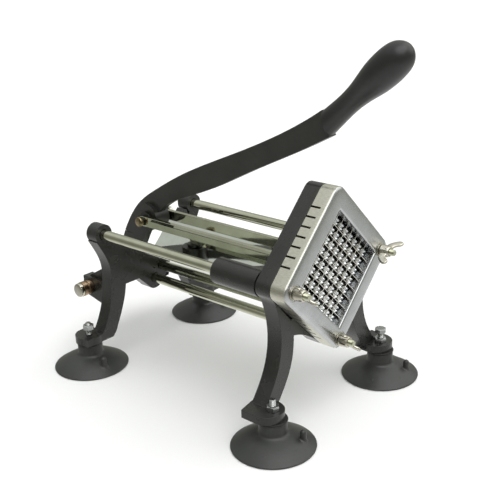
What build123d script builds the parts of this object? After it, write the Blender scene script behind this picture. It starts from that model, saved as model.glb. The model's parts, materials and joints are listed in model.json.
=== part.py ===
from build123d import *
import math
import os

# French-fry cutter on four suction feet.  Millimetres, +Z up, the cutting head faces -Y,
# the handle pivots at the rear.  X = 0 is the middle plane and the written parts stand on Z = 0.

# ---------------------------------------------------------------- main sizes
origin_shift = -116.0       # moves the drawing origin (face of the cutting head) to mid length
worktop_z = 1.7             # worktop height in the drawing, every piece is lowered by it
head_axis_z = 137.4         # height of the centre of the diamond-set cutting head
opening_side = 76.2         # three inch square cutting opening
cell_count = 8              # fries across the opening
cell_pitch = opening_side / cell_count
diagonal = math.sqrt(2.0)

# cutting head and front frame, both square and stood on a corner
head_side = 110.0
head_corner = 10.0
head_back = 16.8
head_bevel = 1.2
frame_back = 32.2
blade_thick = 0.8
blade_front = 6.7
blade_back = 16.5
blade_reach = 49.0          # half length of a blade, its ends sit just inside the slots
slot_width = 1.8

# rods that tie the front frame to the rear stand
rod_x = 61.9
tie_rod_z = 72.5
rod_radius = 5.0
stud_radius = 3.0
stud_hole = 3.3
stud_tip = -15.0
stand_front = 236.0
stand_back = 250.0
stand_seat = 239.0
boss_radius = 10.0
tie_boss_radius = 11.5

# feet
front_foot_x = 80.7
front_foot_y = 10.1
rear_foot_x = 82.0
rear_foot_y = 248.6
pad_bottom = 28.0
pad_top = 35.5
front_pad_radius = 15.0
front_pad_x = 82.0
front_pad_y = 15.0
cup_rim_radius = 36.9
cup_neck_radius = 12.3
cup_neck_foot = 16.2
cup_top = 26.4
foot_screw_radius = 3.0

# trough that carries the potato
trough_half = 37.7          # from the cutting axis to each sloping wall
trough_wall = 1.2
trough_bend = 4.5
trough_top_z = 128.0
trough_end = 251.5

# pusher
block_side = 74.4
block_corner = 5.0
block_front = 20.0
carriage_front = 33.4
pin_tip = 8.0
pin_side = 7.2
pin_corner = 2.6
sleeve_end = 83.0
sleeve_radius = 11.75
sleeve_bore = 5.08

# handle and links
pivot_y = 284.0
pivot_z = 66.5
pivot_radius = 5.0
lug_outer = 48.0
lug_inner = 36.5
lug_end = 294.0
link_pin_y = 231.0
link_pin_z = 140.0
front_pin_y = 56.0
link_height = 10.0
link_inner = 12.5
link_outer = 17.0
link_bolt_radius = 3.0
handle_half = 4.5
handle_boss_half = 9.0
hub_half = 15.0


# ---------------------------------------------------------------- helpers
def face_prism(sketch, y_from, y_to):
    """Drawn looking at the machine from the front (x, z), thick along Y."""
    return Pos(0, y_to, 0) * extrude(Plane.XZ * sketch, amount=y_to - y_from)


def side_prism(sketch, x_from, x_to):
    """Drawn looking along X (y, z), thick along X."""
    return Pos(x_from, 0, 0) * extrude(Plane.YZ * sketch, amount=x_to - x_from)


def rod_along_y(radius, x, z, y_from, y_to):
    return Pos(x, (y_from + y_to) / 2, z) * Rot(90, 0, 0) * Cylinder(radius, y_to - y_from)


def rod_along_x(radius, y, z, x_from, x_to):
    return Pos((x_from + x_to) / 2, y, z) * Rot(0, 90, 0) * Cylinder(radius, x_to - x_from)


def rod_along_z(radius, x, y, z_from, z_to):
    return Pos(x, y, (z_from + z_to) / 2) * Cylinder(radius, z_to - z_from)


def hex_along_y(across_flats, x, z, y_from, y_to):
    outline = RegularPolygon(across_flats / 2, 6, major_radius=False)
    return face_prism(Pos(x, z) * outline, y_from, y_to)


def hex_along_x(across_flats, y, z, x_from, x_to):
    outline = RegularPolygon(across_flats / 2, 6, major_radius=False)
    return side_prism(Pos(y, z) * outline, x_from, x_to)


def hex_along_z(across_flats, x, y, z_from, z_to):
    outline = RegularPolygon(across_flats / 2, 6, major_radius=False)
    return Pos(x, y, z_from) * extrude(outline, amount=z_to - z_from)


def diamond(side, corner, y_from, y_to):
    """A square plate stood on its corner about the cutting axis."""
    outline = Rot(0, 0, 45) * RectangleRounded(side, side, corner)
    return face_prism(Pos(0, head_axis_z) * outline, y_from, y_to)


def both_sides(shape):
    return shape + mirror(shape, about=Plane.YZ)


def outline_face(points):
    return make_face(Polyline(*points, close=True))


def tilted(shape):
    """Turns a shape drawn on a level square grid onto the 45 degree cutting grid."""
    return Pos(0, 0, head_axis_z) * Rot(0, 45, 0) * shape


nodes = {}


def keep(name, shape):
    nodes[name] = Pos(0, origin_shift, -worktop_z) * shape


def group(name, shapes):
    moved = [Pos(0, origin_shift, -worktop_z) * solid for shape in shapes for solid in shape.solids()]
    nodes[name] = Compound(children=moved)


rod_places = [(-rod_x, head_axis_z), (rod_x, head_axis_z), (0.0, tie_rod_z)]
foot_places = [
    (-front_foot_x, front_foot_y),
    (front_foot_x, front_foot_y),
    (-rear_foot_x, rear_foot_y),
    (rear_foot_x, rear_foot_y),
]


# ---------------------------------------------------------------- cutting head
head = diamond(head_side, head_corner, 0, head_back)
front_rim = head.faces().sort_by(Axis.Y)[0].edges()
head = chamfer(front_rim, head_bevel)
head -= diamond(opening_side, 1.5, -1, head_back + 1)
slots = []
for index in range(1, cell_count):
    offset = index * cell_pitch - opening_side / 2
    slot_depth = head_back + 1 - blade_front
    slot_y = blade_front + slot_depth / 2
    slots.append(tilted(Pos(offset, slot_y, 0) * Box(slot_width, slot_depth, head_side + 4)))
    slots.append(tilted(Pos(0, slot_y, offset) * Box(head_side + 4, slot_depth, slot_width)))
for slot in slots:
    head -= slot
for x, z in rod_places:
    head -= rod_along_y(stud_hole, x, z, -1, head_back + 1)
    # shallow spot face under each wing nut washer
    head -= rod_along_y(7.5, x, z, -1, 0.6)
keep("cutting_head", head)


def blade_family(lengthwise_x, notch_from_front):
    """Seven strips, halved into the strips that cross them."""
    strips = []
    depth = blade_back - blade_front
    middle = (blade_front + blade_back) / 2
    notch_depth = depth / 2 + 0.15
    if notch_from_front:
        notch_y = blade_front + notch_depth / 2 - 0.01
    else:
        notch_y = blade_back - notch_depth / 2 + 0.01
    for index in range(1, cell_count):
        offset = index * cell_pitch - opening_side / 2
        if lengthwise_x:
            strip = Pos(0, middle, offset) * Box(2 * blade_reach, depth, blade_thick)
        else:
            strip = Pos(offset, middle, 0) * Box(blade_thick, depth, 2 * blade_reach)
        for cross in range(1, cell_count):
            place = cross * cell_pitch - opening_side / 2
            if lengthwise_x:
                strip -= Pos(place, notch_y, offset) * Box(blade_thick + 0.12, notch_depth, 4)
            else:
                strip -= Pos(offset, notch_y, place) * Box(4, notch_depth, blade_thick + 0.12)
        strips.append(tilted(strip))
    return strips


# the strips running from the upper left to the lower right edge lie in front
group("falling_blades", blade_family(True, False))
group("rising_blades", blade_family(False, True))

# ---------------------------------------------------------------- front frame
frame = diamond(head_side, head_corner, head_back, frame_back)
leg_outer = Spline(
    (-68, 128), (-61.5, 108), (-59.6, 90), (-61.8, 72), (-67.4, 57), (-75.5, 44), (-86, 30),
)
leg_inner = Spline((-43.5, 100), (-42.8, 84), (-44.5, 70), (-48.8, 57), (-55.6, 45), (-67, 30))
leg_close = Line((-68, 128), (-43.5, 100))
leg_foot = Line((-86, 30), (-67, 30))
front_leg = face_prism(make_face([leg_outer, leg_inner, leg_close, leg_foot]), head_back, frame_back)
pad_height = pad_top - pad_bottom
front_pad = Pos(-front_pad_x, front_pad_y, pad_bottom) * extrude(Circle(front_pad_radius), amount=pad_height)
pad_outer = front_pad_x + front_pad_radius
pad_inner = front_pad_x - front_pad_radius
pad_plan = outline_face([
    (-pad_outer, front_pad_y), (-pad_outer, 31), (-80, frame_back + 2), (-pad_inner, frame_back + 2),
    (-pad_inner, front_pad_y),
])
front_pad += Pos(0, 0, pad_bottom) * extrude(pad_plan, amount=pad_height)
frame += both_sides(front_leg + front_pad)
apron = Spline((-46, 88), (-27, 81.5), (-13, 72.5), (0, 63.8))
apron_close = Polyline((0, 63.8), (0, 100), (-46, 104), (-46, 88))
frame += both_sides(face_prism(make_face([apron] + apron_close.edges()), head_back, frame_back))
frame -= diamond(opening_side, 1.5, 0, frame_back + 1)
for x, z in rod_places:
    frame -= rod_along_y(stud_hole, x, z, 0, frame_back + 1)
for x in (-front_foot_x, front_foot_x):
    frame -= rod_along_z(foot_screw_radius + 0.35, x, front_foot_y, 0, 60)
keep("front_frame", frame)

# ---------------------------------------------------------------- rear stand
arm_outer = Spline(
    (-71, 131), (-65.2, 120.5), (-59.8, 108.5), (-57.5, 97),
    (-58.3, 84), (-60.8, 66), (-66.2, 50), (-78, 31),
)
arm_inner = Spline((-39.6, 79), (-42.2, 67), (-47.8, 52), (-53, 41), (-61, 28))
arm_close = Polyline((-39.6, 79), (-45, 112), (-60, 138), (-71, 131))
arm_foot = Line((-78, 31), (-61, 28))
arm = face_prism(
    make_face([arm_outer, arm_inner, arm_foot] + arm_close.edges()), stand_front, stand_back
)
rear_pad = Pos(-rear_foot_x, rear_foot_y, pad_bottom) * extrude(Circle(13.7), amount=pad_height)
rear_run = rear_foot_y - stand_front
rear_pad += Pos(-rear_foot_x + 1.1, stand_front + rear_run / 2, (pad_bottom + pad_top) / 2) * Box(
    27.0, rear_run, pad_height
)
heel = Spline((-62, pad_bottom), (-58.5, 31), (-54.5, 38))
heel_close = Polyline((-54.5, 38), (-70, 40), (-84, pad_bottom), (-62, pad_bottom))
rear_pad += face_prism(make_face([heel] + heel_close.edges()), stand_front, stand_back)
stand = both_sides(arm + rear_pad)
cradle = outline_face([
    (-51, 133.4), (0, 82.4), (51, 133.4), (58, 104), (50, 79),
    (22, 78.5), (9, 65.6), (-9, 65.6), (-22, 78.5), (-50, 79), (-58, 104),
])
stand += face_prism(cradle, stand_front, stand_back)
for x, z in rod_places:
    radius = tie_boss_radius if x == 0 else boss_radius
    stand += rod_along_y(radius, x, z, stand_front, stand_back)
lug_shape = outline_face([
    (248, 70), (262, 68.5), (268, 51.5), (292, 57), (lug_end, 60), (lug_end, 76.8), (248, 76.8),
])
lug_outline = fillet(lug_shape.vertices(), 1.0)
lug = side_prism(lug_outline, -lug_outer, -lug_inner)
rib = side_prism(outline_face([(249, 99), (289, 76), (249, 76)]), -44.5, -38.5)
stand += both_sides(lug + rib)
# clear the seat of the trough between the two arms
stand -= diamond(2 * (trough_half + trough_wall), 0.5, 200, stand_back + 60) & Pos(0, 230, 110) * Box(
    100, 41, 60
)
for x, z in rod_places:
    stand -= rod_along_y(rod_radius + 0.4, x, z, stand_front - 1, stand_seat)
    stand -= rod_along_y(stud_hole, x, z, stand_front, stand_back + 1)
for x in (-rear_foot_x, rear_foot_x):
    stand -= rod_along_z(foot_screw_radius + 0.35, x, rear_foot_y, 0, 60)
stand -= rod_along_x(pivot_radius + 0.08, pivot_y, pivot_z, -80, 80)
keep("rear_stand", stand)


# ---------------------------------------------------------------- rods and their fixings
def turned(x, z, outline):
    """A turned piece along Y from its half outline, given as (radius, y)."""
    return Pos(x, 0, z) * revolve(outline_face(outline), Axis.Y)


def tie_rod(x, z):
    return turned(x, z, [
        (0, stud_tip), (stud_radius - 0.7, stud_tip), (stud_radius, stud_tip + 0.7),
        (stud_radius, frame_back), (rod_radius, frame_back), (rod_radius, stand_seat),
        (stud_radius + 0.05, stand_seat), (stud_radius + 0.05, stand_seat - 20), (0, stand_seat - 20),
    ])


keep("left_guide_rod", tie_rod(*rod_places[0]))
keep("right_guide_rod", tie_rod(*rod_places[1]))
keep("lower_tie_rod", tie_rod(*rod_places[2]))

rear_bolts = []
rear_washers = []
front_washers = []
for x, z in rod_places:
    bolt = hex_along_y(10, x, z, stand_back + 1.4, stand_back + 5.6)
    bolt += rod_along_y(stud_radius, x, z, stand_seat - 16, stand_back + 2)
    rear_bolts.append(bolt)
    washer = rod_along_y(6.6, x, z, stand_back, stand_back + 1.4)
    washer -= rod_along_y(stud_hole, x, z, stand_back - 1, stand_back + 3)
    rear_washers.append(washer)
    front_washers.append(turned(x, z, [
        (stud_radius + 0.4, -1.0), (5.9, -1.0), (6.3, -0.7), (6.3, 0.6), (stud_radius + 0.4, 0.6),
    ]))
group("rod_bolts", rear_bolts)
group("rod_bolt_washers", rear_washers)
group("wing_nut_washers", front_washers)


def wing_nut(x, z, turn):
    """Cast wing nut, wings swept forward; its thread runs on the stud with clearance."""
    hub = Pos(0, -5.8, 0) * Rot(90, 0, 0) * Cone(5.8, 4.9, 9)
    wing_outline = make_face([
        Spline((4, -2.6), (9, -2.4), (13.5, -5.5), (17.6, -10.5)),
        Spline((17.6, -10.5), (19.0, -14.5), (15.6, -16.2), (11.2, -13.4)),
        Spline((11.2, -13.4), (8.2, -10.6), (4, -10.2)),
        Line((4, -10.2), (4, -2.6)),
    ])
    wing = Pos(0, 0, -1.4) * extrude(wing_outline, amount=2.8)
    nut = hub + wing + mirror(wing, about=Plane.YZ)
    nut -= rod_along_y(stud_radius + 0.06, 0, 0, -30, 5)
    return Pos(x, 0, z) * Rot(0, turn, 0) * nut


keep("wing_nut_left", wing_nut(*rod_places[0], 44))
keep("wing_nut_right", wing_nut(*rod_places[1], -18))
keep("wing_nut_lower", wing_nut(*rod_places[2], 44))

# ---------------------------------------------------------------- trough
outer = diamond(2 * (trough_half + trough_wall), trough_bend + trough_wall, frame_back, trough_end)
inner = diamond(2 * trough_half, trough_bend, frame_back - 1, trough_end + 1)
trough = outer - inner
trough -= Pos(0, 140, trough_top_z + 50) * Box(200, 300, 100)
keep("potato_trough", trough)


# ---------------------------------------------------------------- suction feet
def suction_cup(x, y, nub_angle):
    profile = make_face([
        Line((0, cup_top), (cup_neck_radius - 0.8, cup_top)),
        Line((cup_neck_radius - 0.8, cup_top), (cup_neck_radius, cup_top - 0.8)),
        Line((cup_neck_radius, cup_top - 0.8), (cup_neck_radius - 0.3, cup_neck_foot)),
        Spline(
            (cup_neck_radius - 0.3, cup_neck_foot), (14.6, 13.9), (20, 11.9), (26, 9.4), (32, 6.2),
            (cup_rim_radius, worktop_z + 1),
        ),
        Line((cup_rim_radius, worktop_z + 1), (cup_rim_radius - 0.6, worktop_z)),
        Line((cup_rim_radius - 0.6, worktop_z), (cup_rim_radius - 2.4, worktop_z)),
        Spline((cup_rim_radius - 2.4, worktop_z), (24, 5.6), (10, 8.2), (0, 8.8)),
        Line((0, 8.8), (0, cup_top)),
    ])
    cup = revolve(Plane.XZ * profile, Axis.Z)
    nub = Pos(25.5, 0, 10) * Cylinder(2.8, 12) + Pos(25.5, 0, 16) * Sphere(2.8)
    cup += Rot(0, 0, nub_angle) * nub
    cup -= rod_along_z(foot_screw_radius + 0.05, 0, 0, 11, cup_top + 1)
    return Pos(x, y, 0) * cup


cup_names = ["front_left", "front_right", "rear_left", "rear_right"]
nub_angles = [-60, -66, -100, -60]
for name, place, angle in zip(cup_names, foot_places, nub_angles):
    keep("suction_cup_" + name, suction_cup(*place, angle))

gaskets = []
screws = []
foot_nuts = []
for number, (x, y) in enumerate(foot_places):
    gasket = rod_along_z(12.9, x, y, cup_top, pad_bottom)
    gasket -= rod_along_z(foot_screw_radius + 0.35, x, y, 0, 60)
    gaskets.append(gasket)
    # the left feet have studs standing up through a nut, the right feet have bolts
    stud_end = 46.0 if y < 100 else 47.6
    screw = rod_along_z(foot_screw_radius, x, y, 12, stud_end)
    if x > 0:
        screw += hex_along_z(10, x, y, 45.5, 49.6)
    nut_bottom = 40.4 if x < 0 and y > 100 else pad_top
    nut = hex_along_z(10, x, y, nut_bottom, nut_bottom + 4.8)
    nut -= rod_along_z(foot_screw_radius + 0.05, x, y, 0, 60)
    screws.append(screw)
    foot_nuts.append(nut)
group("foot_gaskets", gaskets)
group("foot_screws", screws)
group("foot_nuts", foot_nuts)

# ---------------------------------------------------------------- pivot of the handle
bolt = rod_along_x(pivot_radius, pivot_y, pivot_z, -61, 66)
bolt_head = rod_along_x(7.2, pivot_y, pivot_z, -64.5, -60.2)
bolt_head = chamfer(bolt_head.faces().sort_by(Axis.X)[0].edges(), 1.2)
bolt += bolt_head
keep("pivot_bolt", bolt)
nut = hex_along_x(16, pivot_y, pivot_z, 54.4, 62.4)
nut -= rod_along_x(pivot_radius + 0.05, pivot_y, pivot_z, 50, 70)
keep("pivot_nut", nut)


def pivot_bush(x_from, x_to):
    bush = rod_along_x(7.6, pivot_y, pivot_z, x_from, x_to)
    middle = (x_from + x_to) / 2
    groove = rod_along_x(9, pivot_y, pivot_z, middle - 0.7, middle + 0.7)
    groove -= rod_along_x(6.6, pivot_y, pivot_z, middle - 2, middle + 2)
    bush -= groove
    bush -= rod_along_x(pivot_radius + 0.08, pivot_y, pivot_z, x_from - 1, x_to + 1)
    return bush


group("bronze_bushes", [pivot_bush(-60.1, -48.1), pivot_bush(48.1, 54.3)])
spacer = rod_along_x(8.2, pivot_y, pivot_z, -lug_inner + 0.1, -hub_half - 0.2)
spacer -= rod_along_x(pivot_radius + 0.08, pivot_y, pivot_z, -60, 0)
group("pivot_spacers", [spacer, mirror(spacer, about=Plane.YZ)])

# ---------------------------------------------------------------- handle
grip_angle = 138.6          # direction of the grip axis in the side view
grip_root = (15.3, 260.9)
along = Vector(math.cos(math.radians(grip_angle)), math.sin(math.radians(grip_angle)))
bar_top = Spline(
    (272.5, 119), (262.1, 135.8), (248, 152.5), (222.4, 170.7), (181.1, 193.8),
    (119, 221.4), (49.4, 253.9), (16.2, 273.6),
)
bar_low = Spline(
    (243.7, 116.3), (234.5, 130.9), (221, 146.5), (206.6, 158), (159.5, 178.7),
    (95.6, 209.4), (39.1, 236.5), (8.2, 252.5),
)
bar_end = Line((16.2, 273.6), (8.2, 252.5))
bar_neck = Line((272.5, 119), (243.7, 116.3))
bar = side_prism(make_face([bar_top, bar_low, bar_end, bar_neck]), -handle_half, handle_half)
hub_rear = (pivot_y + 10.9, pivot_z + 5)
hub_front = (pivot_y - 11.2, pivot_z - 4)
lower_bar = make_face([
    Line((272.9, 118), (243.4, 117)),
    Line((243.4, 117), hub_front),
    Line(hub_front, hub_rear),
    Line(hub_rear, (272.9, 118)),
])
bar += side_prism(lower_bar, -handle_half, handle_half)
bar += rod_along_x(12, pivot_y, pivot_z, -hub_half, hub_half)
bar += rod_along_x(14, link_pin_y + 1, link_pin_z + 1.5, -handle_boss_half, handle_boss_half)
tang_start = Vector(*grip_root) - along * 6
tang = Pos(tang_start.X, tang_start.Y) * Rot(0, 0, grip_angle) * Pos(22, 0) * Rectangle(44, 11)
bar += side_prism(tang, -3.2, 3.2)
bar -= rod_along_x(pivot_radius + 0.05, pivot_y, pivot_z, -40, 40)
bar -= rod_along_x(link_bolt_radius + 0.05, link_pin_y, link_pin_z, -40, 40)
keep("handle_bar", bar)

grip_profile = make_face([
    Spline(
        (-14, 10.6), (2, 10.3), (20, 9.4), (32, 9.2), (45, 10.3), (55, 12.0),
        (66, 13.7), (77, 14.2), (87, 13.5), (95, 10.9), (100, 6.3), (102, 0),
        tangents=[(1, 0), (0, -1)],
    ),
    Line((102, 0), (-14, 0)),
    Line((-14, 0), (-14, 10.6)),
])
grip_solid = revolve(grip_profile, Axis.X)
grip_solid = Rot(0, 0, grip_angle) * grip_solid
# from the side-view drawing plane (y, z) into the machine
grip_solid = Plane.YZ * (Pos(grip_root[0], grip_root[1]) * grip_solid)
behind = outline_face([(15.9, 273.7), (7.9, 252.6), (4, 242), (60, 220), (80, 280), (20, 284)])
grip_solid -= side_prism(behind, -40, 40)
socket = Pos(tang_start.X, tang_start.Y) * Rot(0, 0, grip_angle) * Pos(22.1, 0) * Rectangle(44.4, 11.2)
grip_solid -= side_prism(socket, -3.3, 3.3)
keep("handle_grip", grip_solid)


# ---------------------------------------------------------------- links between handle and pusher
def link_bar(x_from, x_to):
    length = link_pin_y - front_pin_y
    outline = Pos((link_pin_y + front_pin_y) / 2, link_pin_z) * SlotCenterToCenter(length, link_height)
    bar = side_prism(outline, x_from, x_to)
    for y in (front_pin_y, link_pin_y):
        bar -= rod_along_x(link_bolt_radius + 0.05, y, link_pin_z, x_from - 1, x_to + 1)
    return bar


keep("left_link", link_bar(-link_outer, -link_inner))
keep("right_link", link_bar(link_inner, link_outer))
bolt = rod_along_x(link_bolt_radius, link_pin_y, link_pin_z, -20, 24)
bolt += rod_along_x(5.0, link_pin_y, link_pin_z, -21.8, -18.9)
keep("link_bolt", bolt)
nut = hex_along_x(10, link_pin_y, link_pin_z, 18.6, 23.6)
nut -= rod_along_x(link_bolt_radius + 0.05, link_pin_y, link_pin_z, 10, 30)
keep("link_bolt_nut", nut)
washers = []
washer_places = [(-18.8, -17.1, 4.3), (17.1, 18.5, 6.3), (-12.4, -9.2, 8.0), (9.2, 12.4, 8.0)]
for x_from, x_to, radius in washer_places:
    washer = rod_along_x(radius, link_pin_y, link_pin_z, x_from, x_to)
    washer -= rod_along_x(link_bolt_radius + 0.06, link_pin_y, link_pin_z, x_from - 1, x_to + 1)
    washers.append(washer)
group("link_washers", washers)
pin = rod_along_x(link_bolt_radius, front_pin_y, link_pin_z, -20, 20)
for side in (-1, 1):
    cap = rod_along_x(5.2, front_pin_y, link_pin_z, 17.1, 20.0)
    pin += cap if side > 0 else mirror(cap, about=Plane.YZ)
keep("link_front_pin", pin)

# ---------------------------------------------------------------- pusher
carriage = diamond(62, 6, carriage_front, 41.4)
arm_low = 130.6
arm_high = 146.0
carriage += Pos(0, (carriage_front + 45.4) / 2, (arm_low + arm_high) / 2) * Box(
    2 * rod_x, 45.4 - carriage_front, arm_high - arm_low
)
for x in (-rod_x, rod_x):
    carriage += rod_along_y(sleeve_radius, x, head_axis_z, carriage_front, sleeve_end)
gusset = make_face([
    Line((-52, 44), (-14, 44)),
    Spline((-14, 44), (-36, 50), (-52, 68)),
    Line((-52, 68), (-52, 44)),
])
gusset = Pos(0, 0, 134) * extrude(gusset, amount=8)
carriage += both_sides(gusset)
cheek = outline_face([(40, 120), (58, 126), (66, 134), (66, 147), (45, 150), (40, 150)])
carriage += side_prism(cheek, -11.5, 11.5)
# open-topped seat for the front pin of the links
seat_low = link_pin_z - link_bolt_radius - 0.6
seat = rod_along_x(link_bolt_radius + 1.9, front_pin_y, link_pin_z + 1.3, -12, 12)
seat += Pos(0, front_pin_y, link_pin_z + 20) * Box(24, 2 * (link_bolt_radius + 1.9), 37.4)
carriage -= seat
for x in (-rod_x, rod_x):
    carriage -= rod_along_y(sleeve_bore, x, head_axis_z, 20, 100)
screw_places = [(0, 24), (0, -24), (20, 0), (-20, 0)]
for x, z in screw_places:
    carriage -= rod_along_y(2.7, x, head_axis_z + z, 20, 60)
    carriage -= rod_along_y(5.0, x, head_axis_z + z, 41.4, 60)
keep("pusher_carriage", carriage)

block = diamond(block_side, block_corner, block_front, carriage_front)
pins = []
for row in range(cell_count):
    for column in range(cell_count):
        across = (column - (cell_count - 1) / 2) * cell_pitch
        up = (row - (cell_count - 1) / 2) * cell_pitch
        pin = extrude(RectangleRounded(pin_side, pin_side, pin_corner), amount=block_front - pin_tip + 0.5)
        pins.append(tilted(Pos(across, block_front + 0.5, up) * Rot(90, 0, 0) * pin))
block = block + pins
for line in range(cell_count):
    place = (line - (cell_count - 1) / 2) * cell_pitch
    block -= tilted(Pos(place, pin_tip + 0.5, 0) * Box(1.4, 3.0, block_side + 4))
    block -= tilted(Pos(0, pin_tip + 0.5, place) * Box(block_side + 4, 3.0, 1.4))
for x, z in screw_places:
    block -= rod_along_y(2.55, x, head_axis_z + z, carriage_front - 9, carriage_front + 1)
keep("push_block", block)

block_screws = []
for x, z in screw_places:
    rear_face = 45.4 if z == 0 else 41.4
    screw = rod_along_y(2.5, x, head_axis_z + z, carriage_front - 8, 42)
    screw += rod_along_y(4.6, x, head_axis_z + z, 41.5, 44.5)
    screw -= Pos(x, 44.5, head_axis_z + z) * Box(1.2, 2.0, 12)
    block_screws.append(screw)
group("push_block_screws", block_screws)

# ---------------------------------------------------------------- write every node
os.makedirs("parts", exist_ok=True)
whole = Compound(children=[solid for shape in nodes.values() for solid in shape.solids()])
print("size", whole.bounding_box())
for name, shape in nodes.items():
    print(name, "solids", len(shape.solids()), "volume", round(shape.volume / 1000, 2), "cm3")
    export_step(shape, "parts/" + name + ".step")
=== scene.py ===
import json
import math

import bmesh
import bpy
from mathutils import Matrix, Vector


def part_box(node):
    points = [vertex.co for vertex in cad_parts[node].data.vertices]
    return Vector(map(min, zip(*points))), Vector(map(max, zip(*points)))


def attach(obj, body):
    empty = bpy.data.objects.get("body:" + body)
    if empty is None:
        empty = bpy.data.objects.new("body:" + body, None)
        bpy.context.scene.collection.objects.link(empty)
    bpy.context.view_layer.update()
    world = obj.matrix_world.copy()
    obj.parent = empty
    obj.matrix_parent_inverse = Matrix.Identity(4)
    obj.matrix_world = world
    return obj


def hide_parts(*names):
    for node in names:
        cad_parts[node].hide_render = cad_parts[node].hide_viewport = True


# A lever-operated French-fry cutter on four suction feet.  The scene is in metres.  Shapes are drawn in
# millimetres about their own Z axis, and built() turns and places them in the frame.

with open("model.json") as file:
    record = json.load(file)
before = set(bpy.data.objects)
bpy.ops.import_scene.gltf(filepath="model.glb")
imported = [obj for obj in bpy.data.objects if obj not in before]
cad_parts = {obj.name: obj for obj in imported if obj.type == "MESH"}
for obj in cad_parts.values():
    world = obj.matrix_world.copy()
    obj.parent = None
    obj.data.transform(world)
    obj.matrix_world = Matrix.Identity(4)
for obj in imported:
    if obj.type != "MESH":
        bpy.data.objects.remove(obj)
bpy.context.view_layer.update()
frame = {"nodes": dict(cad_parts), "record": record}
nodes = frame["nodes"]
slot_of = {part["node"]: part["material_slot"] for part in frame["record"]["subparts"]}
body_of = {}
for body_name, members in frame["record"]["behaviour"]["bodies"].items():
    for member in members:
        body_of[member] = body_name

MM = 0.001
RODS = ("left_guide_rod", "right_guide_rod", "lower_tie_rod")


def centre(node):
    low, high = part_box(node)
    return (low + high) / 2


# ---------------------------------------------------------------- shader helpers
def material(name):
    mat = bpy.data.materials.new(name)
    mat.use_nodes = True
    return mat, mat.node_tree, mat.node_tree.nodes["Principled BSDF"]


def coords(tree, scale=(1, 1, 1)):
    where = tree.nodes.new("ShaderNodeTexCoord")
    mapping = tree.nodes.new("ShaderNodeMapping")
    mapping.inputs["Scale"].default_value = scale
    tree.links.new(where.outputs["Object"], mapping.inputs["Vector"])
    return mapping.outputs["Vector"]


def split(tree, vector):
    parts = tree.nodes.new("ShaderNodeSeparateXYZ")
    tree.links.new(vector, parts.inputs["Vector"])
    return parts.outputs


def maths(tree, operation, *terms):
    """A Math node, whose terms are numbers or the outputs of other nodes."""
    node = tree.nodes.new("ShaderNodeMath")
    node.operation = operation
    for socket, term in zip(node.inputs, terms):
        if isinstance(term, float):
            socket.default_value = term
        else:
            tree.links.new(term, socket)
    return node.outputs[0]


def noise(tree, scale, detail=3.0, rough=0.5, stretch=(1, 1, 1)):
    node = tree.nodes.new("ShaderNodeTexNoise")
    node.inputs["Scale"].default_value = scale
    node.inputs["Detail"].default_value = detail
    node.inputs["Roughness"].default_value = rough
    tree.links.new(coords(tree, stretch), node.inputs["Vector"])
    return node.outputs["Fac"]


def ramp(tree, factor, low, high, start=0.3, end=0.7):
    """A colour that runs from low to high as the factor runs from start to end."""
    node = tree.nodes.new("ShaderNodeValToRGB")
    node.color_ramp.elements[0].position = start
    node.color_ramp.elements[1].position = end
    node.color_ramp.elements[0].color = (*low, 1)
    node.color_ramp.elements[1].color = (*high, 1)
    tree.links.new(factor, node.inputs["Fac"])
    return node.outputs["Color"]


def spread(tree, factor, low, high, start=0.3, end=0.7):
    """A number that runs from low to high as the factor runs from start to end."""
    node = tree.nodes.new("ShaderNodeMapRange")
    node.inputs["From Min"].default_value = start
    node.inputs["From Max"].default_value = end
    node.inputs["To Min"].default_value = low
    node.inputs["To Max"].default_value = high
    tree.links.new(factor, node.inputs["Value"])
    return node.outputs["Result"]


def mixed(tree, factor, first, second):
    node = tree.nodes.new("ShaderNodeMix")
    node.data_type = "RGBA"
    tree.links.new(factor, node.inputs[0])
    tree.links.new(first, node.inputs[6])
    tree.links.new(second, node.inputs[7])
    return node.outputs[2]


def bump(tree, height, strength, distance, normal=None):
    node = tree.nodes.new("ShaderNodeBump")
    node.inputs["Strength"].default_value = strength
    node.inputs["Distance"].default_value = distance
    tree.links.new(height, node.inputs["Height"])
    if normal is not None:
        tree.links.new(normal, node.inputs["Normal"])
    return node.outputs["Normal"]


# ---------------------------------------------------------------- materials
EVEN = (1, 1, 1)            # noise that runs the same way in all directions
DRAWN = (1, 0.03, 1)        # lines drawn out along the machine
ROLLED = (1, 0.05, 1)
GROUND = (1, 0.16, 1)
HEAD_INSIDE = 0.062         # |x| + |height| from the head's axis, just outside the opening's corners
HEAD_OUTSIDE = 0.066


def cast_paint(name, dark, light, rough, grain):
    """Black enamel, plastic or rubber: fine orange peel, slow waviness and patches of a duller finish."""
    mat, tree, shader = material(name)
    peel = noise(tree, 1100, 2.0)
    wave = noise(tree, 70, 2.0)
    patch = noise(tree, 30, 4.0, 0.6)
    tree.links.new(ramp(tree, patch, dark, light), shader.inputs["Base Color"])
    tree.links.new(spread(tree, patch, *rough), shader.inputs["Roughness"])
    first = bump(tree, wave, grain * 0.3, 0.0006)
    tree.links.new(bump(tree, peel, grain, 0.0001, first), shader.inputs["Normal"])
    return mat


def plated(name, low, high, rough, stretch=DRAWN, scale=900, depth=0.00004):
    """Plated or polished metal with faint lines or grain and a slow haze."""
    mat, tree, shader = material(name)
    lines = noise(tree, scale, 3.0, 0.6, stretch)
    haze = noise(tree, 60, 3.0)
    tree.links.new(ramp(tree, haze, low, high), shader.inputs["Base Color"])
    tree.links.new(spread(tree, lines, *rough), shader.inputs["Roughness"])
    tree.links.new(bump(tree, lines, 0.05, depth), shader.inputs["Normal"])
    shader.inputs["Metallic"].default_value = 1.0
    return mat


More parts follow.
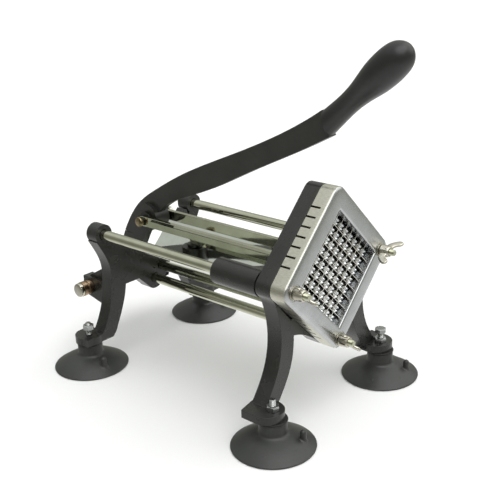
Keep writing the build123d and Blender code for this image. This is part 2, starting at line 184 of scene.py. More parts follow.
def head_metal(name):
    """Cast aluminium: grey grain on the face and in the opening; grinding marks on the outer sides, tinted
    beige as a painted warm reflection.
    """
    mat, tree, shader = material(name)
    normal = split(tree, tree.nodes.new("ShaderNodeNewGeometry").outputs["Normal"])
    front = spread(tree, maths(tree, "ABSOLUTE", normal["Y"]), 0.0, 1.0, 0.35, 0.75)
    place = split(tree, coords(tree))
    above = maths(tree, "SUBTRACT", place["Z"], centre("cutting_head").z)
    outward = maths(tree, "ADD", maths(tree, "ABSOLUTE", place["X"]), maths(tree, "ABSOLUTE", above))
    inside = spread(tree, outward, 1.0, 0.0, HEAD_INSIDE, HEAD_OUTSIDE)
    face = maths(tree, "MAXIMUM", front, inside)

    streak = noise(tree, 1700, 3.0, 0.6, GROUND)
    grain = noise(tree, 1300, 3.0, 0.6)
    blotch = noise(tree, 60, 5.0, 0.7)
    face_colour = ramp(tree, blotch, (0.45, 0.46, 0.465), (0.55, 0.56, 0.565))
    # painted light: the outer sides' beige tint is a painted warm reflection, laid over real grinding streaks
    side_colour_with_painted_reflection = ramp(tree, streak, (0.50, 0.49, 0.41), (0.68, 0.67, 0.58))
    tree.links.new(mixed(tree, face, side_colour_with_painted_reflection, face_colour), shader.inputs["Base Color"])
    roughness = maths(tree, "MULTIPLY_ADD", face, -0.12, spread(tree, grain, 0.32, 0.44))
    tree.links.new(roughness, shader.inputs["Roughness"])
    first = bump(tree, streak, 0.10, 0.00006)
    tree.links.new(bump(tree, grain, 0.10, 0.00006, first), shader.inputs["Normal"])
    shader.inputs["Metallic"].default_value = 1.0
    return mat


paint = cast_paint("black_enamel", (0.0165, 0.0168, 0.0150), (0.0270, 0.0275, 0.0245), (0.22, 0.34), 0.22)
handle_paint = cast_paint("handle_enamel", (0.017, 0.017, 0.0145), (0.026, 0.026, 0.0225), (0.28, 0.40), 0.2)
grip_plastic = cast_paint("smooth_grip", (0.0125, 0.0125, 0.0125), (0.019, 0.019, 0.0185), (0.28, 0.36), 0.10)
rubber = cast_paint("moulded_rubber", (0.024, 0.0255, 0.0235), (0.040, 0.042, 0.039), (0.34, 0.46), 0.14)
gasket = cast_paint("gasket_rubber", (0.009, 0.009, 0.009), (0.015, 0.015, 0.014), (0.5, 0.62), 0.2)

nickel = plated("nickel_plate", (0.48, 0.485, 0.37), (0.56, 0.565, 0.445), (0.03, 0.06))
stainless = plated("polished_stainless", (0.54, 0.56, 0.51), (0.61, 0.635, 0.58), (0.03, 0.07), ROLLED, 500)
zinc = plated("zinc_plate", (0.56, 0.55, 0.48), (0.74, 0.73, 0.68), (0.14, 0.26), EVEN, 500)
dull_zinc = plated("dull_zinc", (0.36, 0.37, 0.36), (0.52, 0.53, 0.52), (0.20, 0.32), EVEN, 500)
wing_plate = plated("wing_nut_plate", (0.48, 0.45, 0.37), (0.66, 0.64, 0.56), (0.14, 0.26), EVEN, 420)
yellow_zinc = plated("yellow_passivate", (0.27, 0.22, 0.13), (0.42, 0.35, 0.22), (0.22, 0.34), EVEN, 600)
blackened = plated("blackened_steel", (0.045, 0.045, 0.045), (0.085, 0.085, 0.08), (0.26, 0.4), EVEN, 500)
casting = plated("bright_casting", (0.78, 0.81, 0.84), (0.92, 0.94, 0.96), (0.14, 0.22), EVEN, 800, 0.00008)
blade_steel = plated("ground_blade", (0.60, 0.58, 0.53), (0.76, 0.75, 0.71), (0.16, 0.28))
bronze = plated("turned_bronze", (0.26, 0.185, 0.12), (0.44, 0.32, 0.20), (0.22, 0.36), EVEN, 700)
aluminium = head_metal("head_casting")

BY_SLOT = {
    "cast_black": paint,
    "handle_black": handle_paint,
    "grip_plastic": grip_plastic,
    "chrome": nickel,
    "head_aluminium": aluminium,
    "block_aluminium": casting,
    "blade_steel": blade_steel,
    "trough_steel": stainless,
    "zinc": zinc,
    "bronze": bronze,
    "cup_rubber": rubber,
    "gasket_rubber": gasket,
}
BY_NODE = {
    "foot_screws": dull_zinc,
    "foot_nuts": dull_zinc,
    "wing_nut_left": wing_plate,
    "wing_nut_right": wing_plate,
    "wing_nut_lower": wing_plate,
    "wing_nut_washers": wing_plate,
    "pivot_bolt": wing_plate,
    "link_bolt": yellow_zinc,
    "link_washers": blackened,
    "push_block_screws": blackened,
}


def finish_of(node):
    """The material of a CAD node: its own where it differs from the others of its slot."""
    return BY_NODE.get(node, BY_SLOT[slot_of[node]])


for node_name in slot_of:
    nodes[node_name].data.materials.clear()
    nodes[node_name].data.materials.append(finish_of(node_name))


# ---------------------------------------------------------------- shown pieces
CAD_WELD, DRAWN_WELD = 0.004 * MM, 0.003 * MM           # points closer than this are one
FLAT_ANGLE = math.radians(0.6)                          # facets flatter than this are joined
EDGE_ANGLE = math.radians(28)                           # an edge sharper than this is rounded over
FACING = {
    "up": Matrix.Identity(3),
    "front": Matrix.Rotation(math.radians(90), 3, "X"),
    "back": Matrix.Rotation(math.radians(-90), 3, "X"),
    "right": Matrix.Rotation(math.radians(90), 3, "Y"),
}


def stand_for(name, mesh, node):
    """Shows a mesh in place of a CAD node, on its body and with its slot and finish."""
    piece = bpy.data.objects.new(name, mesh)
    bpy.context.scene.collection.objects.link(piece)
    mesh.materials.append(finish_of(node))
    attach(piece, body_of[node])
    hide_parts(node)
    return piece


def smooth_below(mesh, sharp_angle):
    mesh.shade_smooth()
    mesh.set_sharp_from_angle(angle=math.radians(sharp_angle))


def drawn_mesh(name, shapes):
    """One mesh of (points, faces, facing, place) shapes, drawn in millimetres about Z."""
    points = []
    faces = []
    for shape_points, shape_faces, turn, place in shapes:
        start = len(points)
        points += [turn @ point * MM + place for point in shape_points]
        faces += [tuple(index + start for index in face) for face in shape_faces]
    mesh = bpy.data.meshes.new(name)
    mesh.from_pydata(points, [], faces)
    bm = bmesh.new()
    bm.from_mesh(mesh)
    bmesh.ops.remove_doubles(bm, verts=bm.verts, dist=DRAWN_WELD)
    bmesh.ops.recalc_face_normals(bm, faces=bm.faces)
    bm.to_mesh(mesh)
    bm.free()
    return mesh


def built(name, shapes, node, sharp=32):
    mesh = drawn_mesh(name, shapes)
    smooth_below(mesh, sharp)
    return stand_for(name, mesh, node)


def carve(piece, shapes, sharp):
    """Cuts drawn shapes out of a piece."""
    cutter = bpy.data.objects.new("cutter", drawn_mesh("cutter", shapes))
    bpy.context.scene.collection.objects.link(cutter)
    cut = piece.modifiers.new("cut", "BOOLEAN")
    cut.operation = "DIFFERENCE"
    cut.solver = "EXACT"
    cut.use_self = True
    cut.object = cutter
    bpy.context.view_layer.update()
    result = piece.evaluated_get(bpy.context.evaluated_depsgraph_get())
    mesh = bpy.data.meshes.new_from_object(result)
    piece.modifiers.clear()
    piece.data = mesh
    bpy.data.objects.remove(cutter)
    smooth_below(mesh, sharp)


def soft_edges(node, width, segments, weigh=None):
    """A copy of a CAD node whose sharp edges are rounded over, as casting or tumbling leaves them."""
    bm = bmesh.new()
    bm.from_mesh(nodes[node].data)
    bmesh.ops.remove_doubles(bm, verts=bm.verts, dist=CAD_WELD)
    bmesh.ops.dissolve_limit(bm, angle_limit=FLAT_ANGLE, verts=bm.verts, edges=bm.edges)
    weights = bm.edges.layers.float.new("bevel_weight_edge")
    for edge in bm.edges:
        if len(edge.link_faces) == 2 and edge.calc_face_angle(0.0) > EDGE_ANGLE:
            middle = (edge.verts[0].co + edge.verts[1].co) / 2
            edge[weights] = weigh(middle) if weigh else 1.0
        edge.smooth = True
    mesh = bpy.data.meshes.new(node + "_soft")
    bm.to_mesh(mesh)
    bm.free()
    for leftover in ("custom_normal", "sharp_face"):
        if leftover in mesh.attributes:
            mesh.attributes.remove(mesh.attributes[leftover])
    mesh.shade_smooth()
    piece = stand_for(node + "_soft", mesh, node)
    bevel = piece.modifiers.new("rounded", "BEVEL")
    bevel.limit_method = "WEIGHT"
    bevel.width = width * MM
    bevel.segments = segments
    bevel.miter_outer = "MITER_ARC"
    bevel.harden_normals = True


# ---------------------------------------------------------------- drawn shapes
def ring(radius, height, count):
    loop = []
    for k in range(count):
        angle = 2 * math.pi * k / count
        loop.append(Vector((radius * math.cos(angle), radius * math.sin(angle), height)))
    return loop


def rounded_square(side, radius, height, per_corner=12):
    loop = []
    inner = side / 2 - radius
    for quarter, (sx, sy) in enumerate(((1, 1), (-1, 1), (-1, -1), (1, -1))):
        for k in range(per_corner + 1):
            angle = math.radians(90 * quarter + 90 * k / per_corner)
            x = sx * inner + radius * math.cos(angle)
            y = sy * inner + radius * math.sin(angle)
            loop.append(Vector((x, y, height)))
    return loop


def skin(rings, wrap=False):
    """Quads between neighbouring rings.  wrap joins the last ring to the first, else both ends are closed."""
    count = len(rings[0])
    points = [point for loop in rings for point in loop]
    faces = []
    last = len(rings) if wrap else len(rings) - 1
    for a in range(last):
        b = (a + 1) % len(rings)
        for k in range(count):
            n = (k + 1) % count
            faces.append((a * count + k, a * count + n, b * count + n, b * count + k))
    if not wrap:
        faces.append(tuple(range(count)))
        faces.append(tuple(range(len(points) - count, len(points))))
    return points, faces


def lathe(outline, count, wrap=False):
    return skin([ring(radius, height, count) for radius, height in outline], wrap)


def bar(size, middle):
    """A plain rectangular bar, only used as a cutting tool."""
    x, y, z = (edge / 2 for edge in size)
    corners = [(sx * x, sy * y, sz * z) for sz in (-1, 1) for sy in (-1, 1) for sx in (-1, 1)]
    faces = [(0, 2, 3, 1), (4, 5, 7, 6), (0, 1, 5, 4), (2, 6, 7, 3), (0, 4, 6, 2), (1, 3, 7, 5)]
    return [Vector(corner) + middle for corner in corners], faces


def hexagon(across, low, high, hole=0.0, low_chamfer=False, per_side=6):
    """Hexagon nut or bolt head about Z with its corners turned off at 30 degrees."""
    half = across / 2
    count = 6 * per_side
    flat = 0.94 * half
    fall = math.tan(math.radians(30))
    lip = 0.35

    def outline(height, sign):
        loop = []
        for k in range(count):
            angle = 2 * math.pi * k / count
            off = (angle + math.pi / 6) % (math.pi / 3) - math.pi / 6
            radius = half / math.cos(off)
            drop = sign * max(0.0, radius - flat) * fall
            loop.append(Vector((radius * math.cos(angle), radius * math.sin(angle), height - drop)))
        return loop

    rings = [ring(flat, low, count)]
    rings.append(outline(low, -1 if low_chamfer else 0))
    rings.append(outline(high, 1))
    rings.append(ring(flat, high, count))
    if hole:
        rings.append(ring(hole + lip, high, count))
        rings.append(ring(hole, high - lip, count))
        rings.append(ring(hole, low + lip, count))
        rings.append(ring(hole + lip, low, count))
        return skin(rings, wrap=True)
    rings.append(ring(flat * 0.5, high + 0.02, count))
    return skin(rings)


def thread(radius, pitch, low, high, count=36, steps=6):
    """A screw thread: a rod whose wall rises and falls along a helix, with a chamfered tip at each end."""
    depth = 0.54 * pitch
    rows = int((high - low) / pitch * steps) + 1
    rings = [ring(radius - 1.3 * depth, low - 0.001, count)]
    for row in range(rows):
        height = low + (high - low) * row / (rows - 1)
        lead = min(1.0, (high - height) / pitch, (height - low) / pitch)
        loop = []
        for k in range(count):
            phase = (height / pitch - k / count) % 1.0
            wall = radius - depth * (1 - abs(2 * phase - 1)) - (1 - lead) * depth * 0.9
            angle = 2 * math.pi * k / count
            loop.append(Vector((wall * math.cos(angle), wall * math.sin(angle), height)))
        rings.append(loop)
    rings.append(ring(radius - 1.3 * depth, high + 0.001, count))
    return skin(rings)


# ---------------------------------------------------------------- castings and pressed pieces
carriage_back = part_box("pusher_carriage")[1].y


def carriage_weight(point):
    """The carriage is rounded fully at its back end and half as much elsewhere."""
    return 1.0 if point.y > carriage_back - 0.5 * MM else 0.5


EDGE_WEIGHTS = {"pusher_carriage": carriage_weight}
SOFTENED = {                # node: edge width in millimetres, segments
    "front_frame": (1.1, 3),
    "rear_stand": (1.3, 3),
    "pusher_carriage": (2.2, 4),
    "handle_bar": (1.3, 3),
    "left_link": (0.5, 2),
    "right_link": (0.5, 2),
    "rod_bolt_washers": (0.25, 2),
    "wing_nut_washers": (0.25, 2),
    "link_washers": (0.25, 2),
    "bronze_bushes": (0.25, 2),
    "pivot_spacers": (0.25, 2),
    "falling_blades": (0.2, 1),
    "rising_blades": (0.2, 1),
    "foot_gaskets": (0.5, 2),
    "push_block_screws": (0.3, 2),
    "link_front_pin": (0.5, 2),
    "potato_trough": (0.3, 2),
}
for node_name, (edge_width, edge_segments) in SOFTENED.items():
    soft_edges(node_name, edge_width, edge_segments, EDGE_WEIGHTS.get(node_name))

# ---------------------------------------------------------------- cutting head
CELLS, OPENING = 8, 76.2
CELL = OPENING / CELLS
HEAD_SIDE, HEAD_CORNER, HEAD_DEPTH, HEAD_SHARP = 110.0, 10.0, 16.8, 30
OPENING_CORNER = 1.5
SLOT_FRONT, SLOT_WIDTH = 6.7, 1.8
STUD_HOLE = [(3.3, -HEAD_DEPTH - 1), (3.3, -0.6), (7.4, -0.6), (7.9, 0.5)]      # bore and spot face
TILT = Matrix.Rotation(math.radians(45), 3, "Y") @ FACING["front"]
head_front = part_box("cutting_head")[0].y
head_middle = Vector((0, head_front, centre("cutting_head").z))


def front_of(rod):
    """The point where a rod's axis meets the front of the head."""
    return Vector((centre(rod).x, head_front, centre(rod).z))


def head_shape():
    """A square frame with a crowned face and rounded rims.  Its section is (inward, height from the face)."""
    wide = (HEAD_SIDE - OPENING) / 2
    section = [
        (0.6, -HEAD_DEPTH), (0.0, -HEAD_DEPTH + 0.6), (0.0, -3.2), (0.12, -2.4), (0.45, -1.75), (1.0, -1.25),
        (1.8, -0.85), (3.2, -0.5), (6.0, -0.2), (9.5, -0.05), (wide - 2.4, 0.0), (wide - 1.2, -0.1),
        (wide - 0.5, -0.45), (wide - 0.1, -1.0), (wide, -1.8), (wide, -HEAD_DEPTH + 0.4),
        (wide - 0.4, -HEAD_DEPTH),
    ]
    rings = []
    for inward, height in section:
        share = inward / wide
        radius = HEAD_CORNER * (1 - share) + OPENING_CORNER * share
        rings.append(rounded_square(HEAD_SIDE - 2 * inward, radius, height))
    return skin(rings, wrap=True)


def make_head():
    head = built("cutting_head_cast", [(*head_shape(), TILT, head_middle)], "cutting_head", HEAD_SHARP)
    depth = HEAD_DEPTH - SLOT_FRONT + 1
    length = HEAD_SIDE + 4
    slots = []
    for line in range(1, CELLS):
        across = line * CELL - OPENING / 2
        height = -SLOT_FRONT - depth / 2
        rising = bar((SLOT_WIDTH, length, depth), Vector((across, 0, height)))
        falling = bar((length, SLOT_WIDTH, depth), Vector((0, across, height)))
        slots.append((*rising, TILT, head_middle))
        slots.append((*falling, TILT, head_middle))
    carve(head, slots, HEAD_SHARP)
    carve(head, [(*lathe(STUD_HOLE, 48), FACING["front"], front_of(rod)) for rod in RODS], HEAD_SHARP)


make_head()

# ---------------------------------------------------------------- rods with threaded studs
ROD, STUD, STUD_PITCH = 5.0, 3.0, 1.0
STUD_REACH = 47.2           # from the stud's tip to the rod's shoulder
TIP_SHOWS = 16.0            # threaded length that shows in front of the head


def make_rod(rod):
    low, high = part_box(rod)
    tip = Vector((centre(rod).x, low.y, centre(rod).z))
    length = (high.y - low.y) / MM
    stud = thread(STUD, STUD_PITCH, 0.0, TIP_SHOWS)
    plain = lathe([(STUD - 0.1, TIP_SHOWS), (STUD - 0.1, STUD_REACH - 0.2), (STUD, STUD_REACH)], 48)
    shaft = lathe([
        (STUD, STUD_REACH), (ROD - 0.4, STUD_REACH), (ROD, STUD_REACH + 0.4),
        (ROD, length - 0.4), (ROD - 0.4, length), (STUD, length),
    ], 96)
    built(rod + "_turned", [(*shape, FACING["back"], tip) for shape in (stud, plain, shaft)], rod)


for rod_name in RODS:
    make_rod(rod_name)

# ---------------------------------------------------------------- wing nuts
WING_NUTS = {               # node: the rod that it is on, its turn in degrees
    "wing_nut_left": ("left_guide_rod", 44),
    "wing_nut_right": ("right_guide_rod", -18),
    "wing_nut_lower": ("lower_tie_rod", 44),
}
HUB = [
    (3.07, 1.35), (5.5, 1.35), (5.8, 1.7), (5.72, 3.4), (5.35, 6.4), (5.0, 9.0), (4.6, 9.9), (4.0, 10.25),
    (3.4, 10.25), (3.07, 9.9),
]
WING_SPINE = [(3.9, 6.0), (8.6, 5.2), (12.4, 8.4), (15.0, 15.0)]
WING_ROUNDS_AT = 0.8        # share of the spine after which the tip rounds off


def wing_point(t):
    a, b, c, d = [Vector((out, 0, height)) for out, height in WING_SPINE]
    return a * (1 - t) ** 3 + b * 3 * t * (1 - t) ** 2 + c * 3 * t * t * (1 - t) + d * t ** 3


def wing(stations=18, around=20):
    """One swept wing: a flat oval section carried along the spine from the hub to a rounded tip."""
    rings = []
    for station in range(stations + 1):
        t = math.sin(station / stations * math.pi / 2)
        here = wing_point(t)
        ahead = (wing_point(min(1.0, t + 0.01)) - wing_point(max(0.0, t - 0.01))).normalized()
        across = Vector((-ahead.z, 0, ahead.x))
        past = max(0.0, (t - WING_ROUNDS_AT) / (1 - WING_ROUNDS_AT))
        tip = max(math.sqrt(max(0.0, 1 - past ** 2)), 0.02)
        width = (3.9 - 1.9 * t + 1.5 * t * t) * tip
        thick = (1.75 - 0.7 * t + 0.35 * t * t) * tip ** 0.4
        loop = []
        for k in range(around):
            angle = 2 * math.pi * k / around
            flat = math.copysign(abs(math.cos(angle)) ** 0.55, math.cos(angle))
            full = math.copysign(abs(math.sin(angle)) ** 0.8, math.sin(angle))
            loop.append(here + across * (width * flat) + Vector((0, thick * full, 0)))
        rings.append(loop)
    return skin(rings)


def make_wing_nut(nut, rod, turn):
    facing = Matrix.Rotation(math.radians(turn), 3, "Y") @ FACING["front"]
    points, faces = wing()
    other_points = [Vector((-point.x, -point.y, point.z)) for point in points]
    shapes = [lathe(HUB, 48, wrap=True), (points, faces), (other_points, faces)]
    built(nut + "_cast", [(*shape, facing, front_of(rod)) for shape in shapes], nut, sharp=50)


for nut_name, (rod_name, nut_turn) in WING_NUTS.items():
    make_wing_nut(nut_name, rod_name, nut_turn)

# ---------------------------------------------------------------- suction cups
RIM, NECK, CUP_TOP = 36.9, 12.3, 24.7
DOME = [
    (NECK, 15.2), (12.5, 14.1), (13.2, 13.2), (14.8, 12.4), (17.4, 11.5), (20.5, 10.35), (24, 8.8),
    (27.5, 7.0), (30.8, 5.1), (33.6, 3.3), (35.6, 2.1), (36.5, 1.6), (RIM, 1.0),
]
UNDER = [
    (36.75, 0.35), (36.2, 0.0), (34.5, 0.0), (29, 2.2), (24, 3.9), (17, 5.5), (10, 6.5), (4, 7.0), (0, 7.1),
]
CUP_END = [(0.0, CUP_TOP), (NECK - 1.0, CUP_TOP), (NECK - 0.3, CUP_TOP - 0.3), (NECK, CUP_TOP - 1.0)]
NUB_OUT, NUB_RADIUS = 25.5, 2.85
NUB = [                     # radius, height over the dome, share of the way to standing level
    (5.4, -0.6, 0), (4.4, 0.02, 0), (3.6, 0.35, 0.1), (3.15, 0.9, 0.4), (2.95, 1.8, 0.8),
    (NUB_RADIUS, 3.2, 1), (NUB_RADIUS, 6.0, 1), (2.6, 7.3, 1), (2.0, 8.35, 1), (1.1, 8.95, 1), (0.0, 9.1, 1),
]
DOT_OUT = 28
DOT = [(1.3, -0.2, 0), (0.9, 0.12, 0), (0.5, 0.22, 0), (0.0, 0.25, 0)]
DOT_TURNS = (-38, -95, 70, 150)         # from the nub, in degrees
NUB_TURN = {"front_left": -60, "front_right": -66, "rear_left": -100, "rear_right": -60}


def dome_height(radius):
    for (r0, z0), (r1, z1) in zip(DOME, DOME[1:]):
        if r0 <= radius <= r1 and r1 > r0:
            return z0 + (z1 - z0) * (radius - r0) / (r1 - r0)
    return DOME[0][1] if radius < DOME[0][0] else DOME[-1][1]


def on_dome(out, turn, outline, count):
    """A small moulded shape that grows out of the dome at a radius and a turn in degrees."""
    rings = []
    turn = math.radians(turn)
    middle = Vector((out * math.cos(turn), out * math.sin(turn), 0))
    for radius, height, level in outline:
        loop = []
        for point in ring(radius, 0, count):
            point += middle
            below = dome_height(math.hypot(point.x, point.y))
            point.z = (1 - level) * below + level * dome_height(out) + height
            loop.append(point)
        rings.append(loop)
    return skin(rings)


def foot_place(corner):
    cup = centre("suction_cup_" + corner)
    return Vector((cup.x, cup.y, 0))


def make_cup(corner, turn):
    shapes = [lathe(CUP_END + DOME + UNDER, 128), on_dome(NUB_OUT, turn, NUB, 28)]
    shapes += [on_dome(DOT_OUT, turn + away, DOT, 16) for away in DOT_TURNS]
    cup = "suction_cup_" + corner
    built(cup + "_moulded", [(*shape, FACING["up"], foot_place(corner)) for shape in shapes], cup, sharp=60)


for corner_name, nub_turn in NUB_TURN.items():
    make_cup(corner_name, nub_turn)

# ---------------------------------------------------------------- foot screws and nuts
FOOT_SCREW, FOOT_PITCH, FOOT_HEX = 3.0, 1.0, 10
DRAWING_LOW = 1.7           # the drawing's height zero lies this far under the worktop
PAD_TOP = 35.5 - DRAWING_LOW
BOLT_TOP = 49.6 - DRAWING_LOW
SCREW_LOW = 10.4
HEAD_HIGH, NUT_HIGH = 4.0, 4.8
STUD_BELOW = {"front_left": 3.6, "rear_left": 2.0}      # how far a stud ends below the top of the bolts
NUT_ABOVE = {"rear_left": 4.9}                          # how far a nut stands above its pad


def make_foot_fasteners():
    """Studs on the left feet, hexagon-headed bolts on the right feet, and a nut on each pad."""
    screws_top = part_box("foot_screws")[1].z / MM
    nut_facing = Matrix.Rotation(math.radians(17), 3, "Z")
    screws = []
    nuts = []
    for corner in NUB_TURN:
        at = (FACING["up"], foot_place(corner))
        if corner in STUD_BELOW:
            stud_top = screws_top - STUD_BELOW[corner]
            screws.append((*thread(FOOT_SCREW, FOOT_PITCH, SCREW_LOW, stud_top), *at))
        else:
            head_low = BOLT_TOP - HEAD_HIGH
            screws.append((*thread(FOOT_SCREW, FOOT_PITCH, SCREW_LOW, head_low), *at))
            screws.append((*hexagon(FOOT_HEX, head_low - 0.1, BOLT_TOP, low_chamfer=True), *at))
        low = PAD_TOP + NUT_ABOVE.get(corner, 0.0)
        nut = hexagon(FOOT_HEX, low, low + NUT_HIGH, FOOT_SCREW, low_chamfer=True)
        nuts.append((*nut, nut_facing, foot_place(corner)))
    built("foot_screws_threaded", screws, "foot_screws")
    built("foot_nuts_hex", nuts, "foot_nuts")


make_foot_fasteners()

# ---------------------------------------------------------------- rod bolts, pivot bolt, link bolt
ROD_BOLT_SHANK = [(2.9, -26.9), (2.95, -26), (2.95, 0.2)]
PIVOT_HEAD = [
    (0.0, 0.0), (5.2, 0.0), (6.0, 0.15), (6.9, 0.8), (7.2, 1.6), (7.2, 3.9), (6.8, 4.3), (5.0, 4.3),
]
LINK_HEAD = [(0.0, 0.0), (3.9, 0.0), (4.6, 0.3), (5.0, 1.0), (5.0, 2.4), (4.7, 2.9), (3.0, 2.9)]


def make_rod_bolts():
    washer_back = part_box("rod_bolt_washers")[1].y
    shapes = []
    for rod in RODS:
        at = (FACING["back"], Vector((centre(rod).x, washer_back, centre(rod).z)))
        shapes.append((*hexagon(10, 0.0, 4.2), *at))
        shapes.append((*lathe(ROD_BOLT_SHANK, 32), *at))
    built("rod_bolts_hex", shapes, "rod_bolts")


def make_cross_bolt(bolt, nut, names, head, head_count, shank, shank_count, threaded, across):
    """A bolt across the machine: turned head, plain shank from x to x, thread to its end, and its nut."""
    axis = centre(nut)
    low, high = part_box(bolt)
    place = Vector((low.x, axis.y, axis.z))
    radius, shank_from, shank_to = shank
    pitch, count = threaded
    shapes = [
        lathe(head, head_count),
        lathe([(radius, shank_from), (radius, shank_to)], shank_count),
        thread(radius, pitch, shank_to - 0.1, (high.x - low.x) / MM, count),
    ]
    built(names[0], [(*shape, FACING["right"], place) for shape in shapes], bolt)
    nut_low, nut_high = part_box(nut)
    seat = Vector((nut_low.x, axis.y, axis.z))
    ring_nut = hexagon(across, 0.0, (nut_high.x - nut_low.x) / MM, radius + 0.05, low_chamfer=True)
    built(names[1], [(*ring_nut, FACING["right"], seat)], nut)


make_rod_bolts()
make_cross_bolt("pivot_bolt", "pivot_nut", ("pivot_bolt_turned", "pivot_nut_hex"), PIVOT_HEAD, 64,
                (5.0, 4.2, 117.0), 48, (1.25, 44), 16)
make_cross_bolt("link_bolt", "link_bolt_nut", ("link_bolt_turned", "link_nut_hex"), LINK_HEAD, 48,
                (3.0, 2.8, 38.0), 40, (1.0, 36), 10)

# ---------------------------------------------------------------- push block with its pins
BLOCK_SIDE, BLOCK_CORNER, PLATE_DEPTH = 74.4, 5.0, 13.4
PIN_HALF, LOBE = 3.58, 2.4  # half width of a pin, height of its lobes
PINCH_OVERALL, PINCH_MIDDLE, PINCH_WIDTH = 0.21, 0.12, 0.8


def pinched(u, v):
    """Draws the corners of a pin in, and a groove down the middle of each side."""
    a, b = u / PIN_HALF, v / PIN_HALF
    x = u * (1 - PINCH_OVERALL * b * b - PINCH_MIDDLE * math.exp(-((v / PINCH_WIDTH) ** 2)) * a * a)
    y = v * (1 - PINCH_OVERALL * a * a - PINCH_MIDDLE * math.exp(-((u / PINCH_WIDTH) ** 2)) * b * b)
    return x, y


def pin(top, grid=12):
    """One pin: a squarish post with four rounded lobes at its tip, open where it enters the plate."""
    row = grid + 1
    points = []
    faces = []
    for j in range(row):
        for i in range(row):
            u = PIN_HALF * (2 * i / grid - 1)
            v = PIN_HALF * (2 * j / grid - 1)
            rise = abs(math.sin(math.pi * u / PIN_HALF) * math.sin(math.pi * v / PIN_HALF)) ** 0.75
            x, y = pinched(u, v)
            points.append(Vector((x, y, top - LOBE + LOBE * rise)))
    for j in range(grid):
        for i in range(grid):
            a = j * row + i
            faces.append((a, a + 1, a + 1 + row, a + row))
    border = list(range(row)) + [j * row + grid for j in range(1, row)]
    border += [grid * row + i for i in range(grid - 1, -1, -1)] + [j * row for j in range(grid - 1, 0, -1)]
    start = len(points)
    points += [Vector((points[k].x * 1.01, points[k].y * 1.01, PLATE_DEPTH - 0.3)) for k in border]
    for k in range(len(border)):
        n = (k + 1) % len(border)
        faces.append((border[k], border[n], start + n, start + k))
    return points, faces


def make_push_block():
    low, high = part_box("push_block")
    back = Vector((0, high.y, head_middle.z))
    plate = skin([
        rounded_square(BLOCK_SIDE, BLOCK_CORNER, 0.0),
        rounded_square(BLOCK_SIDE, BLOCK_CORNER, PLATE_DEPTH - 1.0),
        rounded_square(BLOCK_SIDE - 0.6, BLOCK_CORNER - 0.3, PLATE_DEPTH - 0.3),
        rounded_square(BLOCK_SIDE - 2.0, BLOCK_CORNER - 1.0, PLATE_DEPTH),
    ])
    shapes = [(*plate, TILT, back)]
    points, faces = pin((high.y - low.y) / MM)
    middle = (CELLS - 1) / 2
    for row in range(CELLS):
        for column in range(CELLS):
            away = Vector(((column - middle) * CELL, (row - middle) * CELL, 0))
            shapes.append(([point + away for point in points], faces, TILT, back))
    built("push_block_pinned", shapes, "push_block", sharp=50)


make_push_block()

# ---------------------------------------------------------------- camera
CAMERA_AT = Vector((-0.56444, -0.51927, 0.41455))
CAMERA_TURN = (-48.161, 20.503, -1.799)     # yaw, pitch down and roll, in degrees
CAMERA_LENS, CAMERA_SENSOR = 63.02, 36.0


def stand_camera():
    yaw, pitch, roll = (math.radians(angle) for angle in CAMERA_TURN)
    forward = Vector((-math.sin(yaw) * math.cos(pitch), math.cos(yaw) * math.cos(pitch), -math.sin(pitch)))
    level = Vector((math.cos(yaw), math.sin(yaw), 0.0))
    rise = level.cross(forward)
    right = math.cos(roll) * level + math.sin(roll) * rise
    up = -math.sin(roll) * level + math.cos(roll) * rise
    data = bpy.data.cameras.new("view")
    data.sensor_width = CAMERA_SENSOR
    data.lens = CAMERA_LENS
    data.clip_start = 0.01
    cam = bpy.data.objects.new("view", data)
    bpy.context.scene.collection.objects.link(cam)
    cam.matrix_world = Matrix.Translation(CAMERA_AT) @ Matrix((right, up, -forward)).transposed().to_4x4()
    bpy.context.scene.camera = cam


stand_camera()

# ---------------------------------------------------------------- light, floor and backdrop
SKY = [                     # height from straight down to straight up, colour
    (0.0, (0.95, 0.95, 0.94)), (0.19, (0.93, 0.93, 0.92)), (0.31, (0.60, 0.61, 0.59)),
    (0.42, (0.36, 0.36, 0.32)), (0.50, (0.30, 0.30, 0.26)), (0.60, (0.34, 0.34, 0.30)),
    (0.72, (0.44, 0.45, 0.42)), (0.86, (0.60, 0.62, 0.60)), (1.0, (0.85, 0.86, 0.86)),
]
FLOOR_SIZE, FLOOR_DROP = 30, 0.0002
WALL_RADIUS, WALL_HEIGHT = 14.5, 60


def soft_sun(name, azimuth, elevation, power, width):
    """A broad soft light far away.  Azimuth runs from +X towards +Y, and all angles are in degrees."""
    data = bpy.data.lights.new(name, "SUN")
    data.energy = power
    data.angle = math.radians(width)
    lamp = bpy.data.objects.new(name, data)
    bpy.context.scene.collection.objects.link(lamp)
    a, e = math.radians(azimuth), math.radians(elevation)
    towards = Vector((math.cos(e) * math.cos(a), math.cos(e) * math.sin(a), math.sin(e)))
    lamp.rotation_euler = (-towards).to_track_quat("-Z", "Y").to_euler()


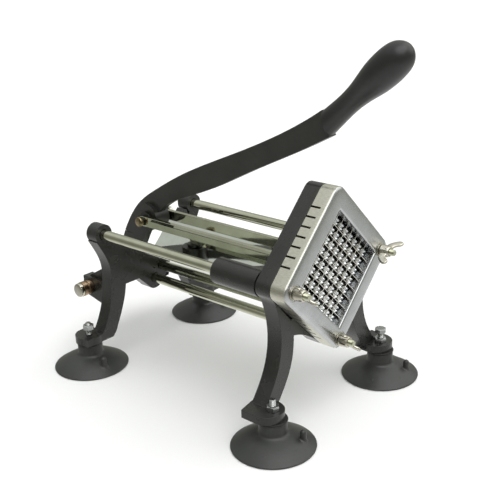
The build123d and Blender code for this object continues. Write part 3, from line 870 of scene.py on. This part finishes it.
def studio_world():
    """A plain studio: pale below, a quiet mid grey around, paler overhead, darker on the -X side."""
    world = bpy.data.worlds.new("studio")
    bpy.context.scene.world = world
    world.use_nodes = True
    tree = world.node_tree
    where = split(tree, tree.nodes.new("ShaderNodeTexCoord").outputs["Generated"])
    band = tree.nodes.new("ShaderNodeValToRGB")
    first, *between, last = SKY
    for element, (position, colour) in zip(band.color_ramp.elements, (first, last)):
        element.position = position
        element.color = (*colour, 1)
    for position, colour in between:
        band.color_ramp.elements.new(position).color = (*colour, 1)
    tree.links.new(spread(tree, where["Z"], 0.0, 1.0, -1.0, 1.0), band.inputs["Fac"])
    background = tree.nodes["Background"]
    tree.links.new(band.outputs["Color"], background.inputs["Color"])
    tree.links.new(spread(tree, where["X"], 0.82, 1.25, -0.7, 0.8), background.inputs["Strength"])


def lay_floor():
    bpy.ops.mesh.primitive_plane_add(size=FLOOR_SIZE, location=(0, 0, -FLOOR_DROP))
    floor = bpy.context.object
    floor.name = "floor"
    mat, tree, shader = material("pale_floor")
    colour = ramp(tree, noise(tree, 6, 2.0), (0.90, 0.90, 0.90), (0.92, 0.92, 0.92))
    tree.links.new(colour, shader.inputs["Base Color"])
    shader.inputs["Roughness"].default_value = 0.9
    shader.inputs["Specular IOR Level"].default_value = 0.1
    floor.data.materials.append(mat)
    floor.visible_glossy = False


def stand_backdrop():
    """A white wall all round, which only the camera sees."""
    mat, _, shader = material("pale_backdrop")
    shader.inputs["Base Color"].default_value = (0, 0, 0, 1)
    shader.inputs["Emission Color"].default_value = (1, 1, 1, 1)
    shader.inputs["Emission Strength"].default_value = 1.0
    shader.inputs["Specular IOR Level"].default_value = 0.0
    bpy.ops.mesh.primitive_cylinder_add(
        vertices=96, radius=WALL_RADIUS, depth=WALL_HEIGHT, end_fill_type="NOTHING", location=(0, 0, 0))
    wall = bpy.context.object
    wall.name = "backdrop"
    wall.data.materials.append(mat)
    for ray in ("visible_glossy", "visible_diffuse", "visible_shadow", "visible_transmission"):
        setattr(wall, ray, False)


soft_sun("key", -125, 58, 1.3, 60)
soft_sun("fill", -38, 42, 0.95, 70)
soft_sun("top", 140, 75, 0.3, 90)
studio_world()
lay_floor()
stand_backdrop()

bpy.context.scene.view_settings.view_transform = "Standard"
bpy.context.view_layer.update()
